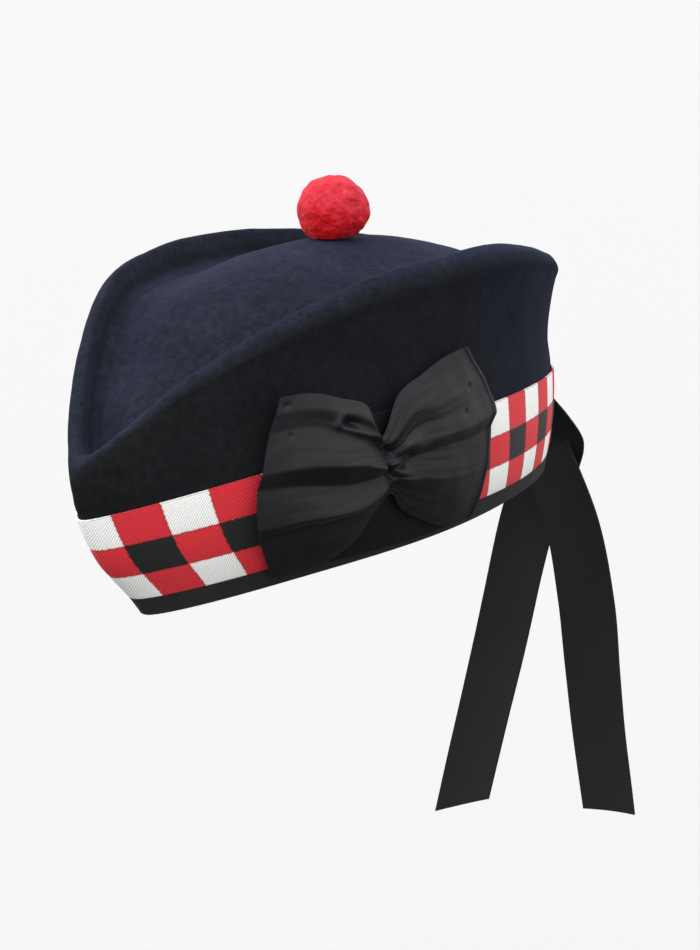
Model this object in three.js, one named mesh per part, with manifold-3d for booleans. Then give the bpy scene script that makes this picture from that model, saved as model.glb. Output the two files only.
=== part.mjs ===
import * as THREE from "three";
import { mergeVertices } from "three/addons/utils/BufferGeometryUtils.js";
import Module from "manifold-3d";

// Glengarry cap in millimetres: +Z up, the front at -Y, the wearer's left at +X.
// The origin is the middle of the head opening, just under the rim at its front crease.

const GAP = 0.3; // clear space between neighbouring pieces
const FELT = 2.2; // thickness of the felt walls and the crown
const TAPE = 1.0; // thickness of the woven band
const RIBBON = 1.0; // thickness of every ribbon

// Plan of the cap: each side follows an arc from the front crease to the back crease.
const PLAN_ANGLE = 0.75; // half angle of that arc, radians
const STATIONS = 28; // columns of faces from crease to crease

// Heights of the long lines at 0, 25, 50, 75 and 100 % of the way from front to back.
const RIM_LINE = [1.2, 7.2, 8.6, 8.2, 4];
const BAND_LOW_LINE = [8.6, 15.2, 17.4, 15.6, 12.4];
const BAND_MID_LINE = [25, 32.2, 35.2, 33, 28];
const BAND_HIGH_LINE = [44.5, 54.2, 56.8, 53.4, 45.6];
const WAIST_LINE = [52, 75, 84, 77, 60];
const CROWN_LINE = [62, 113.6, 123.6, 110.6, 80.4];
// Ridge heights of the two walls, at every eighth of the way from front to back.
const RIDGE_LINE = {
  left: [67.6, 93.4, 109.6, 118.8, 120.8, 118.8, 111, 100, 84.8],
  right: [67.6, 93.4, 117.4, 122.8, 122.6, 118.2, 111, 100, 84.8],
};

// Outer face of a side wall, a row for each level from the rim up and over the ridge roll.
// front and back are Y at the creases, half is the greatest half width, tips are how bluntly the two
// creases are rounded, drop is how far the level lies under its line.
const WALL_LEVELS = [
  { name: "rim", front: -125.4, back: 124, half: 45.5, tips: [6, 6], line: RIM_LINE, drop: 0 },
  { name: "band_low", front: -130.8, back: 125.5, half: 50.2, tips: [6, 6], line: BAND_LOW_LINE, drop: 0 },
  { name: "band_mid", front: -145.5, back: 130.5, half: 55, tips: [4, 5], line: BAND_MID_LINE, drop: 0 },
  { name: "band_high", front: -155.6, back: 132, half: 57.4, tips: [3.2, 5], line: BAND_HIGH_LINE, drop: 0 },
  { name: "waist", front: -158, back: 129.5, half: 58.5, tips: [3.2, 6], line: WAIST_LINE, drop: 0 },
  { name: "roll_root", front: -158.4, back: 134, half: 63.2, tips: [2.8, 8], line: RIDGE_LINE, drop: 13.5 },
  { name: "roll_out", front: -157, back: 135, half: 64.8, tips: [2.8, 8], line: RIDGE_LINE, drop: 7.2 },
  { name: "roll_top", front: -154.4, back: 132.8, half: 62.6, tips: [3.2, 8], line: RIDGE_LINE, drop: 2.4 },
  { name: "crest", front: -151, back: 128, half: 58.3, tips: [3.2, 8], line: RIDGE_LINE, drop: 0 },
  { name: "roll_in", front: -148, back: 124, half: 55, tips: [3.2, 8], line: RIDGE_LINE, drop: 4.2 },
  { name: "groove", front: -145.8, back: 121.4, half: 52.2, tips: [3.2, 8], line: RIDGE_LINE, drop: 10.4 },
  { name: "valley", front: -142.4, back: 118, half: 48.6, tips: [3.2, 8], line: RIDGE_LINE, drop: 12 },
];
const VALLEY_END_SHARE = 0.4; // share of a drop that is left at the two creases

// Woven tape: level numbers of its rows from the lower edge to the upper edge.
const BAND_LEVELS = [1, 1.5, 2, 2.5, 3];

// Binding: rows round the folded ribbon's section. level 0 is the rim and 1 the tape's lower edge,
// out is measured from the felt's outer face and under downwards from the rim.
const BINDING_TOP = 0.96;
const FELT_INSIDE = -FELT - GAP;
const UNDER_RIM = 0.55; // clear space under the felt's edge
const BINDING_ROWS = [
  { level: BINDING_TOP, out: GAP + RIBBON, under: 0 },
  { level: 0, out: GAP + RIBBON, under: 0 },
  { level: 0, out: -FELT / 2, under: UNDER_RIM + RIBBON },
  { level: 0, out: FELT_INSIDE - RIBBON, under: 0 },
  { level: BINDING_TOP, out: FELT_INSIDE - RIBBON, under: 0 },
  { level: BINDING_TOP, out: FELT_INSIDE, under: 0 },
  { level: 0, out: FELT_INSIDE, under: 0 },
  { level: 0, out: -FELT / 2, under: UNDER_RIM },
  { level: 0, out: GAP, under: 0 },
  { level: BINDING_TOP, out: GAP, under: 0 },
];

// Crown panel between the two valleys, with places across it as shares of its half width.
const CROWN_ACROSS = [1, 0.88, 0.72, 0.5, 0.25, 0, -0.25, -0.5, -0.72, -0.88, -1];
const CROWN_FULLNESS = 2.2; // power of the hump across: higher is flatter on top
const CROWN_TRIM = 0.006; // share of the length cut off at each pointed end

// Toorie: a flattened ball of wool tufts.
const TOORIE = {
  y: -1.5,
  radius: 13.2, // round head under the tufts
  height: 0.97, // height as a share of the width
  detail: 2, // how often the head's octahedron is divided
  tufts: 40,
  tuftReach: 15.2, // middle of the ball to the tip of a tuft
  tuftRadius: 3.9,
  tuftDetail: 1,
  sink: 4.4, // how much of the ball is pressed flat where it is sewn on
  seatHalf: 10, // half width of that flat
};

// Tails: rows down the middle of each ribbon. turn is the ribbon's turn about the upright, in degrees.
const TAIL_WIDTH = 28;
const TAIL_STEPS = 18;
const TAIL_CELLS = 4;
const TAIL_CURL = 1.2; // how far the middle of the ribbon bows back
const TAIL_LEFT = {
  slant: -3,
  rows: [
    { x: -5.5, y: 139, z: 4, turn: 0 },
    { x: 10.6, y: 134.8, z: -27, turn: 4 },
    { x: 19, y: 131, z: -58, turn: 6.5 },
    { x: 23.6, y: 127.4, z: -89, turn: 4 },
    { x: 28.2, y: 123.9, z: -120, turn: 1 },
    { x: 34.3, y: 120.4, z: -151.5, turn: -2 },
  ],
};
const TAIL_RIGHT = {
  slant: 18,
  rows: [
    { x: -4, y: 140.6, z: 4, turn: 0 },
    { x: -16.6, y: 137.4, z: -31, turn: 0 },
    { x: -24.6, y: 132.6, z: -66, turn: -2 },
    { x: -33.1, y: 128.6, z: -101, turn: -3 },
    { x: -42.1, y: 124.8, z: -136, turn: -5 },
    { x: -51.1, y: 121, z: -171.5, turn: -6 },
  ],
};

// Fold of ribbon over the roots of the tails, from its top corner to its pinch, with X of its two edges.
const FOLD_ROWS = [
  { z: 31, y: 133.9, left: 3.4, right: -3 },
  { z: 22, y: 138.6, left: 8.2, right: -10 },
  { z: 12, y: 142.6, left: 12.6, right: -18.5 },
  { z: 5, y: 143.2, left: 12.8, right: -19 },
  { z: -4, y: 142.6, left: 9.9, right: -16 },
];
const FOLD_CELLS = 6;
const FOLD_BOW = 0.8; // how far the sides of the fold lie forward of its middle

// Rosette on the left wall. Places are Y along the cap and Z up, out is measured level from the felt.
const BACKING = { front: -90, back: 3, low: 11, high: 68, out: 2.6, cells: 14, rows: 6 };
const BOW_OUT = 4.2; // back of the bow's deepest pleat
const BOW_WALL = 1.8; // ribbon measured straight out through the slopes of its pleats
const BOW_CELLS = 32; // faces along the bow
// Sections of the bow from its front end to its back end: Y at the lower edge, at a third and two
// thirds of the width and at the upper edge, Z of the two edges, and how far the cloth swells off the wall.
const BOW_SECTIONS = [
  { yLow: -89.5, yLower: -101.4, yUpper: -101, yHigh: -94.3, low: 10, high: 82.6, swell: 0 },
  { yLow: -78.5, yLower: -87.2, yUpper: -87.6, yHigh: -82, low: 10.5, high: 82.2, swell: 1.6 },
  { yLow: -67.5, yLower: -72.6, yUpper: -73.4, yHigh: -69.5, low: 12, high: 77.8, swell: 2.2 },
  { yLow: -57.5, yLower: -59.6, yUpper: -60.2, yHigh: -58, low: 19.5, high: 72.6, swell: 1.4 },
  { yLow: -46, yLower: -47.4, yUpper: -49, yHigh: -51.7, low: 35, high: 58.7, swell: 0 },
  { yLow: -38.5, yLower: -36.6, yUpper: -37, yHigh: -43, low: 27.5, high: 74, swell: 1.2 },
  { yLow: -25, yLower: -22.4, yUpper: -23, yHigh: -30.5, low: 19.5, high: 79.4, swell: 1.6 },
  { yLow: -8, yLower: -5.4, yUpper: -6, yHigh: -17, low: 12.8, high: 83.4, swell: 1.2 },
  { yLow: 8.3, yLower: 10.6, yUpper: 11.4, yHigh: -2.4, low: 12, high: 84.4, swell: 0.3 },
];
// Fold lines from the lower to the upper edge: place across the width and height over the deepest
// pleat, at the front end, the front lobe, the gather, the back lobe and the back end.
const BOW_FOLDS = [
  { name: "low_edge", place: [0, 0, 0, 0, 0], out: [0.4, 0.6, 0.5, 0.6, 0.4] },
  { name: "low_swell", place: [0.13, 0.14, 0.1, 0.12, 0.12], out: [0.9, 1.4, 1.2, 2, 0.8] },
  { name: "low_valley", place: [0.255, 0.285, 0.17, 0.2, 0.22], out: [0.8, 1.2, 1.4, 3.2, 1] },
  { name: "low_ridge", place: [0.295, 0.33, 0.24, 0.29, 0.32], out: [3.2, 7.8, 5, 4.6, 1.6] },
  { name: "mid_valley", place: [0.53, 0.505, 0.42, 0.5, 0.52], out: [0.9, 1.6, 1.2, 1.6, 0.7] },
  { name: "mid_ridge", place: [0.605, 0.63, 0.53, 0.58, 0.6], out: [2.4, 7.8, 6.6, 6.8, 3.4] },
  { name: "high_valley", place: [0.82, 0.82, 0.72, 0.7, 0.72], out: [1, 2.2, 2.6, 4.9, 1.8] },
  { name: "high_swell", place: [0.91, 0.92, 0.87, 0.8, 0.82], out: [1.5, 3.8, 4.8, 5.2, 1.8] },
  { name: "high_edge", place: [1, 1, 1, 1, 1], out: [0.5, 1.2, 1.4, 1.6, 0.5] },
];

// Finding a place on the wall.
const FIRST_LEVEL = 3; // level number that the search starts from
const LAST_UPRIGHT_LEVEL = 5; // the wall rises steadily up to this level
const PLACE_ROUNDS = 6; // passes that settle a place
const HALVINGS = 40; // halvings that settle one value
const PLAN_STEP = 0.04; // share of the length over which the wall's direction is taken
const TINY = 1e-6; // least distance from a crease, so that nothing is divided by zero

// Looks.
const FELT_LOOK = { color: "#23283a", roughness: 0.95, metalness: 0 };
const TAPE_LOOK = { color: "#b8303c", roughness: 0.85, metalness: 0 };
const RIBBON_LOOK = { color: "#1d1e20", roughness: 0.7, metalness: 0 };
const WOOL_LOOK = { color: "#c82334", roughness: 1, metalness: 0 };

// Smooth curve through evenly spaced values, at t from 0 to 1.
function through(values, t) {
  const last = values.length - 1;
  const place = Math.min(Math.max(t, 0), 1) * last;
  const i = Math.min(Math.floor(place), last - 1);
  const f = place - i;
  const at = (k) => {
    if (k < 0) return 2 * values[0] - values[1];
    if (k > last) return 2 * values[last] - values[last - 1];
    return values[k];
  };
  const slopeA = (at(i + 1) - at(i - 1)) / 2;
  const slopeB = (at(i + 2) - at(i)) / 2;
  const g = f * f * (3 - 2 * f);
  return at(i) * (1 - g) + at(i + 1) * g + slopeA * f * (1 - f) * (1 - f) - slopeB * f * f * (1 - f);
}

const mix = (a, b, f) => a + (b - a) * f;
const stationAt = (i, count) => 0.5 - 0.5 * Math.cos((Math.PI * i) / count);

// Where a rising function passes zero.
function crossing(rising, low, high) {
  for (let k = 0; k < HALVINGS; k++) {
    const middle = (low + high) / 2;
    if (rising(middle) < 0) low = middle;
    else high = middle;
  }
  return low;
}

// Point on one level of a wall, t from the front crease to the back crease. The right wall's points are
// given at +X too.
function levelPoint(level, t, side = "left") {
  const turn = PLAN_ANGLE * (2 * t - 1);
  const reach = (level.back - level.front) / 2;
  const y = (level.front + level.back) / 2 + (reach * Math.sin(turn)) / Math.sin(PLAN_ANGLE);
  const arc = (Math.cos(turn) - Math.cos(PLAN_ANGLE)) / (1 - Math.cos(PLAN_ANGLE));
  const blunt = (tip, far) => Math.sqrt((1 + (2 * tip) / Math.max(far, TINY)) / (1 + (2 * tip) / reach));
  const [tipFront, tipBack] = level.tips;
  const x = level.half * arc * blunt(tipFront, y - level.front) * blunt(tipBack, level.back - y);
  const depth = mix(VALLEY_END_SHARE, 1, Math.sin(Math.PI * t));
  const heights = level.line[side] ?? level.line;
  return new THREE.Vector3(Math.max(x, 0), y, through(heights, t) - level.drop * depth);
}

// Point on the left wall at a fractional level number.
function wallPoint(t, level) {
  const i = Math.min(Math.floor(level), WALL_LEVELS.length - 2);
  return levelPoint(WALL_LEVELS[i], t).lerp(levelPoint(WALL_LEVELS[i + 1], t), level - i);
}

// Point at a place on the left wall, moved straight out from it.
function besideWall(y, z, out) {
  let t = 0.5;
  let level = FIRST_LEVEL;
  for (let round = 0; round < PLACE_ROUNDS; round++) {
    t = crossing((value) => wallPoint(value, level).y - y, 0, 1);
    level = crossing((value) => wallPoint(t, value).z - z, 0, LAST_UPRIGHT_LEVEL);
  }
  const point = wallPoint(t, level);
  const ahead = wallPoint(Math.min(t + PLAN_STEP, 1), level);
  const behind = wallPoint(Math.max(t - PLAN_STEP, 0), level);
  const normal = new THREE.Vector3(ahead.y - behind.y, behind.x - ahead.x, 0).normalize();
  return point.addScaledVector(normal, out);
}

// Outward normals of a grid of points, rows running along u and stacked along v.
function gridNormals(rows, wrap) {
  const count = rows[0].length;
  const height = rows.length;
  const pick = (j, i) => {
    const row = Math.min(Math.max(j, 0), height - 1);
    const column = wrap ? (i + count) % count : Math.min(Math.max(i, 0), count - 1);
    return rows[row][column];
  };
  return rows.map((row, j) =>
    row.map((point, i) => {
      const along = pick(j, i + 1).clone().sub(pick(j, i - 1));
      const up = pick(j + 1, i).clone().sub(pick(j - 1, i));
      return along.cross(up).normalize();
    }),
  );
}

// Geometry from a list of points and a list of corner numbers.
function geometryOf(points, corners) {
  const geometry = new THREE.BufferGeometry();
  const places = points.flatMap((p) => [p.x, p.y, p.z]);
  geometry.setAttribute("position", new THREE.Float32BufferAttribute(places, 3));
  geometry.setIndex(corners);
  geometry.computeVertexNormals();
  return geometry;
}

// Closed wall between a grid of outer points and a grid of inner points.
function closedWall(outer, inner, wrap = false) {
  const count = outer[0].length;
  const height = outer.length;
  const points = [...outer.flat(), ...inner.flat()];
  const out = (j, i) => j * count + (i % count);
  const into = (j, i) => height * count + j * count + (i % count);
  const corners = [];
  const quad = (a, b, c, d) => corners.push(a, b, c, a, c, d);
  const spans = wrap ? count : count - 1;
  for (let j = 0; j < height - 1; j++) {
    for (let i = 0; i < spans; i++) {
      quad(out(j, i), out(j, i + 1), out(j + 1, i + 1), out(j + 1, i));
      quad(into(j, i), into(j + 1, i), into(j + 1, i + 1), into(j, i + 1));
    }
    if (!wrap) {
      quad(out(j, 0), out(j + 1, 0), into(j + 1, 0), into(j, 0));
      quad(out(j, count - 1), into(j, count - 1), into(j + 1, count - 1), out(j + 1, count - 1));
    }
  }
  for (let i = 0; i < spans; i++) {
    quad(out(0, i), into(0, i), into(0, i + 1), out(0, i + 1));
    quad(out(height - 1, i), out(height - 1, i + 1), into(height - 1, i + 1), into(height - 1, i));
  }
  return geometryOf(points, corners);
}

const shifted = (rows, normals, amount) =>
  rows.map((row, j) => row.map((p, i) => p.clone().addScaledVector(normals[j][i], amount)));

// Wall of even thickness under a grid of outer points.
function sheetWall(rows, thickness, wrap = false) {
  return closedWall(rows, shifted(rows, gridNormals(rows, wrap), -thickness), wrap);
}

// Felt wall of one side at +X, cut square at the two seams.
function sideWall(side) {
  const rows = WALL_LEVELS.map((level) =>
    Array.from({ length: STATIONS + 1 }, (_, i) => {
      const point = levelPoint(level, stationAt(i, STATIONS), side);
      point.x += GAP / 2;
      return point;
    }),
  );
  const normals = gridNormals(rows, false);
  for (const row of normals) {
    for (const end of [row[0], row[STATIONS]]) {
      end.x = 0;
      end.normalize();
    }
  }
  return closedWall(rows, shifted(rows, normals, -FELT));
}

// Crown panel: it rises out of both valleys to a hump along the middle.
function crownPanel() {
  const valley = WALL_LEVELS[WALL_LEVELS.length - 1];
  const rows = CROWN_ACROSS.map((across) => {
    const hump = (1 - Math.abs(across) ** CROWN_FULLNESS) ** 2;
    const side = across > 0 ? "left" : "right";
    return Array.from({ length: STATIONS + 1 }, (_, i) => {
      const t = mix(CROWN_TRIM, 1 - CROWN_TRIM, stationAt(i, STATIONS));
      const seam = levelPoint(valley, t, side);
      const height = mix(seam.z, through(CROWN_LINE, t), hump);
      return new THREE.Vector3(across * (seam.x - GAP), seam.y, height);
    });
  });
  return sheetWall(rows, FELT);
}

// Ring of points round both walls at one level.
function ringRow(level) {
  const left = Array.from({ length: STATIONS + 1 }, (_, i) => wallPoint(stationAt(i, STATIONS), level));
  const right = left.slice(1, STATIONS).reverse();
  return [...left, ...right.map((p) => new THREE.Vector3(-p.x, p.y, p.z))];
}

// Woven tape that lies on both walls.
function diceBand() {
  const rows = BAND_LEVELS.map(ringRow);
  const normals = gridNormals(rows, true);
  return closedWall(shifted(rows, normals, GAP + TAPE), shifted(rows, normals, GAP), true);
}

// Ribbon folded round the felt's edge and joined up into a ring.
function rimBinding() {
  const guide = [ringRow(0), ringRow(BINDING_TOP)];
  const normals = gridNormals(guide, true);
  const rows = BINDING_ROWS.map(({ level, out, under }) => {
    const k = level > 0 ? 1 : 0;
    return guide[k].map((p, i) => {
      const moved = p.clone().addScaledVector(normals[k][i], out);
      moved.z -= under;
      return moved;
    });
  });
  const count = rows[0].length;
  const height = rows.length;
  const corners = [];
  const at = (j, i) => (j % height) * count + (i % count);
  for (let j = 0; j < height; j++) {
    for (let i = 0; i < count; i++) {
      corners.push(at(j, i), at(j + 1, i + 1), at(j, i + 1), at(j, i), at(j + 1, i), at(j + 1, i + 1));
    }
  }
  return geometryOf(rows.flat(), corners);
}

// Hanging ribbon through the rows of its table.
function tailRibbon({ rows, slant }) {
  const column = (name, s) => through(rows.map((row) => row[name]), s);
  const centre = (s) => new THREE.Vector3(column("x", s), column("y", s), column("z", s));
  const length = rows[0].z - rows[rows.length - 1].z;
  const grid = [];
  for (let j = 0; j <= TAIL_CELLS; j++) {
    const across = 0.5 - j / TAIL_CELLS;
    const far = 1 - Math.max(slant * across + Math.abs(slant) / 2, 0) / length;
    grid.push(
      Array.from({ length: TAIL_STEPS + 1 }, (_, i) => {
        const s = (far * i) / TAIL_STEPS;
        const step = 1 / (2 * TAIL_STEPS);
        const along = centre(Math.min(s + step, 1)).sub(centre(Math.max(s - step, 0))).normalize();
        const turn = THREE.MathUtils.degToRad(column("turn", s));
        const back = new THREE.Vector3(-Math.sin(turn), Math.cos(turn), 0);
        const side = back.clone().cross(along).normalize();
        const bow = TAIL_CURL * (1 - 4 * across * across);
        return centre(s).addScaledVector(side, -across * TAIL_WIDTH).addScaledVector(back, bow);
      }),
    );
  }
  return sheetWall(grid, RIBBON);
}

// Folded ribbon over the roots of the tails.
function tailFold() {
  const rows = [];
  for (let j = 0; j <= FOLD_CELLS; j++) {
    const share = j / FOLD_CELLS;
    const bow = FOLD_BOW * (2 * share - 1) ** 2;
    const pointOf = ({ z, y, left, right }) => new THREE.Vector3(mix(left, right, share), y - bow, z);
    rows.push(FOLD_ROWS.map(pointOf));
  }
  return sheetWall(rows, RIBBON);
}

const wasm = await Module();
wasm.setup();

// Solid of a closed geometry whose corners are shared.
function solidOf(geometry) {
  geometry.deleteAttribute("normal");
  geometry.deleteAttribute("uv");
  const merged = mergeVertices(geometry);
  const vertProperties = new Float32Array(merged.getAttribute("position").array);
  const triVerts = new Uint32Array(merged.index.array);
  return new wasm.Manifold(new wasm.Mesh({ numProp: 3, vertProperties, triVerts }));
}

// Geometry of a fused solid.
function geometryFrom(solid) {
  const mesh = solid.getMesh();
  const points = [];
  for (let i = 0; i < mesh.numVert; i++) {
    const [x, y, z] = mesh.vertProperties.subarray(i * mesh.numProp, i * mesh.numProp + 3);
    points.push(new THREE.Vector3(x, y, z));
  }
  return geometryOf(points, [...mesh.triVerts]);
}

// Wool ball about its own middle: tufts spread evenly over a round head and fused with it, flat where
// it is sewn on.
function toorie() {
  const { radius, height, detail, tufts, tuftReach, tuftRadius, tuftDetail, sink } = TOORIE;
  const head = new THREE.OctahedronGeometry(radius, detail);
  const golden = Math.PI * (3 - Math.sqrt(5));
  const locks = Array.from({ length: tufts }, (_, k) => {
    const up = 1 - (2 * k + 1) / tufts;
    const ring = Math.sqrt(1 - up * up);
    const way = new THREE.Vector3(ring * Math.cos(golden * k), ring * Math.sin(golden * k), up);
    const tip = way.multiplyScalar(tuftReach - tuftRadius);
    return new THREE.OctahedronGeometry(tuftRadius, tuftDetail).translate(tip.x, tip.y, tip.z);
  });
  const ball = wasm.Manifold.union([head, ...locks].map(solidOf)).scale([1, 1, height]);
  return geometryFrom(ball.trimByPlane([0, 0, 1], sink - tuftReach * height));
}

// Height of the ball's middle when its flat sits on the crown.
function toorieHeight() {
  const { y, height, tuftReach, sink, seatHalf } = TOORIE;
  const seat = Math.max(crownHeight(y - seatHalf), crownHeight(y), crownHeight(y + seatHalf)) + GAP;
  return seat + tuftReach * height - sink;
}

// Height of the crown's middle line at a place along the cap.
function crownHeight(y) {
  const valley = WALL_LEVELS[WALL_LEVELS.length - 1];
  return through(CROWN_LINE, crossing((t) => levelPoint(valley, t).y - y, 0, 1));
}

// Flat ribbon behind the bow.
function rosetteBacking() {
  const { front, back, low, high, out, cells, rows } = BACKING;
  const face = (depth) =>
    Array.from({ length: rows + 1 }, (_, j) =>
      Array.from({ length: cells + 1 }, (_, i) =>
        besideWall(mix(front, back, i / cells), mix(low, high, j / rows), depth),
      ),
    );
  return closedWall(face(out + RIBBON), face(out));
}

// Pleated bow: its fold lines gather in the middle section and open out to both ends.
function rosetteBow() {
  const column = (name, s) => through(BOW_SECTIONS.map((row) => row[name]), s);
  const edges = ["yLow", "yLower", "yUpper", "yHigh"];
  const face = (wall) =>
    BOW_FOLDS.map(({ place, out }) =>
      Array.from({ length: BOW_CELLS + 1 }, (_, i) => {
        const s = i / BOW_CELLS;
        const b = through(place, s);
        const y = through(edges.map((name) => column(name, s)), b);
        const z = mix(column("low", s), column("high", s), b);
        const swell = column("swell", s) * Math.sin(Math.PI * b);
        return besideWall(y, z, BOW_OUT + swell + through(out, s) + wall);
      }),
    );
  return closedWall(face(BOW_WALL), face(0));
}

const part = new THREE.Group();
part.name = "glengarry_cap";

function add(name, geometry, look) {
  const mesh = new THREE.Mesh(geometry, new THREE.MeshStandardMaterial(look));
  mesh.name = name;
  part.add(mesh);
  return mesh;
}

add("side_left", sideWall("left"), FELT_LOOK);
add("side_right", sideWall("right"), FELT_LOOK).scale.x = -1;
add("crown_top", crownPanel(), FELT_LOOK);
add("dice_band", diceBand(), TAPE_LOOK);
add("rim_binding", rimBinding(), RIBBON_LOOK);
add("rosette_backing", rosetteBacking(), RIBBON_LOOK);
add("rosette_bow", rosetteBow(), RIBBON_LOOK);
add("toorie", toorie(), WOOL_LOOK).position.set(0, TOORIE.y, toorieHeight());
add("tail_left", tailRibbon(TAIL_LEFT), RIBBON_LOOK);
add("tail_right", tailRibbon(TAIL_RIGHT), RIBBON_LOOK);
add("tail_fold", tailFold(), RIBBON_LOOK);

export default part;
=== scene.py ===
import math
from collections import namedtuple

import bmesh
import bpy
import numpy as np
from mathutils import Matrix, Vector, noise


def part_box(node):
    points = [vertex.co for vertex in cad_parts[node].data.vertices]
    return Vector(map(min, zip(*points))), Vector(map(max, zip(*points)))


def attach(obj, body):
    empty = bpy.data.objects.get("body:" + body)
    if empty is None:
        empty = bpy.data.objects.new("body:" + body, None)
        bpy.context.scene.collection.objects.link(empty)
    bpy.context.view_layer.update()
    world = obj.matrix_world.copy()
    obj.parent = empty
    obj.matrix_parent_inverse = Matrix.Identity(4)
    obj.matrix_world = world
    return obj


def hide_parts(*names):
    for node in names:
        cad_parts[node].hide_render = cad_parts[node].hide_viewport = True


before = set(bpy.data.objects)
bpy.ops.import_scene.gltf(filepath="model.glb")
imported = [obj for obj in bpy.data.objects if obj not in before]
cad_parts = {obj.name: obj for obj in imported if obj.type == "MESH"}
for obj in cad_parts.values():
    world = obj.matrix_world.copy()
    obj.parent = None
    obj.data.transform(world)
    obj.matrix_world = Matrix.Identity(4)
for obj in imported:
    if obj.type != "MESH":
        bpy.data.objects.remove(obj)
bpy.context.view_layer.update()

# Glengarry cap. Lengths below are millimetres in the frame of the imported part: +Z up, the front at -Y,
# the wearer's left at +X. A mesh is turned into metres when it is made.
MM = 0.001
TINY = 1e-12

# Gap between neighbours, and thickness of each cloth.
GAP = 0.3
FELT = 2.2
TAPE = 1.0
RIBBON = 0.8

# Side walls: seen from above, a wall is an arc that turns by this many radians to either side of its middle.
PLAN_ANGLE = 0.75
# Heights of the long lines of the walls and the crown, at every quarter of the way from front to back.
RIM_LINE = (1.2, 7.2, 8.6, 8.2, 4)
BAND_LOW_LINE = (8.6, 15.2, 17.4, 15.6, 12.4)
BAND_MID_LINE = (25, 32.2, 35.2, 33, 28)
BAND_HIGH_LINE = (44.5, 54.2, 56.8, 53.4, 45.6)
WAIST_LINE = (52, 75, 84, 77, 60)
CROWN_LINE = (62, 113.6, 123.6, 110.6, 80.4)
# Ridge heights of the two walls, at every eighth of the way from front to back.
RIDGE_LINE = {
    "left": (67.6, 93.4, 109.6, 118.8, 120.8, 118.8, 111, 100, 84.8),
    "right": (67.6, 93.4, 117.4, 122.8, 122.6, 118.2, 111, 100, 84.8),
}
# Levels of a wall from the rim up, over the ridge and down to the crown: Y at the front and the back crease,
# half the width of the cap, bluntness of the two ends, line of heights, and drop below that line.
Level = namedtuple("Level", "name front back half tip_front tip_back line drop")
WALL_LEVELS = [
    Level("rim", -125.4, 124, 45.5, 6, 6, RIM_LINE, 0),
    Level("band_low", -130.8, 125.5, 50.2, 6, 6, BAND_LOW_LINE, 0),
    Level("band_mid", -145.5, 130.5, 55, 4, 5, BAND_MID_LINE, 0),
    Level("band_high", -155.6, 132, 57.4, 3.2, 5, BAND_HIGH_LINE, 0),
    Level("waist", -158, 129.5, 58.5, 3.2, 6, WAIST_LINE, 0),
    Level("roll_root", -158.4, 134, 63.2, 2.8, 8, RIDGE_LINE, 13.5),
    Level("roll_out", -157, 135, 64.8, 2.8, 8, RIDGE_LINE, 7.2),
    Level("roll_top", -154.4, 132.8, 62.6, 3.2, 8, RIDGE_LINE, 2.4),
    Level("crest", -151, 128, 58.3, 3.2, 8, RIDGE_LINE, 0),
    Level("roll_in", -148, 124, 55, 3.2, 8, RIDGE_LINE, 4.2),
    Level("groove", -145.8, 121.4, 52.2, 3.2, 8, RIDGE_LINE, 10.4),
    Level("valley", -142.4, 118, 48.6, 3.2, 8, RIDGE_LINE, 12),
]
LEVEL_NUMBER = {level.name: number for number, level in enumerate(WALL_LEVELS)}
BAND_LOW = LEVEL_NUMBER["band_low"]
BAND_HIGH = LEVEL_NUMBER["band_high"]
LAST_UPRIGHT_LEVEL = LEVEL_NUMBER["roll_root"]
# Share of its drop that a level keeps at the creases.
DROP_END_SHARE = 0.4
# Cells of a wall's grid along and up it.
WALL_STATIONS = 220
WALL_ROWS = 100
# Distance from a crease within which the bumps die out, and how far each wall runs past the middle there.
SEAM_REACH = 6
SEAM_LAP = 0.15

# Crown: cells across it, the two powers that shape its hump, share of the length trimmed off at each crease,
# how far its edge runs under the walls' ends, and how soon its bumps set in beside the edge.
CROWN_ROWS = 120
CROWN_FULLNESS = 2.2
CROWN_STEEPNESS = 2
CROWN_TRIM = 0.006
CROWN_TUCK = 1.2
CROWN_LOOSENESS = 2

# Uneven cloth and wool: grain size and height of each layer of bumps. A seed says where in the noise
# a piece's bumps are taken from.
FELT_BUMPS = ((26, 0.5), (8, 0.14))
CROWN_BUMPS = ((30, 0.8), (9, 0.18))
BOW_BUMPS = ((9, 0.4),)
TAIL_BUMPS = ((40, 0.6),)
TOORIE_BUMPS = ((11, 1.2), (4.2, 0.5), (1.7, 0.24))
SEEDS = {
    "side_left": 1,
    "side_right": 11,
    "crown_top": 21,
    "tail_left": 31,
    "tail_right": 32,
    "bow_wrinkles": 41,
    "rosette_bow": 42,
    "toorie": 51,
}
SEED_STEP = (17.3, 5.1, 9.7)

# Search for the place on a wall with a given Y and Z: first guess as share of the way and level, passes,
# nudge for the slopes, longest step of each, and margin kept from the creases.
SEARCH_START = (0.4, 3.0)
SEARCH_PASSES = 14
SEARCH_NUDGE = 1e-3
SEARCH_STEP = (0.1, 0.7)
SEARCH_MARGIN = 0.02
# Share of the way to either side over which the wall's direction is taken.
DIRECTION_REACH = 0.04

# Angle in degrees past which an edge is shaded sharp. At the second value every edge is smooth.
SHARP_ANGLE = 50
ALL_SMOOTH = 180

# Dicing, three rows high: size of a tile, and how many columns lie within a distance of the front crease.
# The tape is eased round the wall, so its columns are widest along the flat of the side.
TILE_WIDTH = 18.1
TILE_HEIGHT = 13.2
TILE_ROWS = 3
DICE_DISTANCE = (0, 46.6, 67.5, 182.4, 251.2, 307.5)
DICE_COLUMN = (-0.1, 2.5, 3.5, 9.5, 13.5, 16.9)
# Each tile is padded: depth of the dip at its edges, and power that rounds it.
TILE_PAD = 0.18
TILE_ROUNDING = 0.5
# Cells up the tape, and cells along it beyond those of a wall.
BAND_ROWS = 36
BAND_EXTRA_STATIONS = 60
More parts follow.
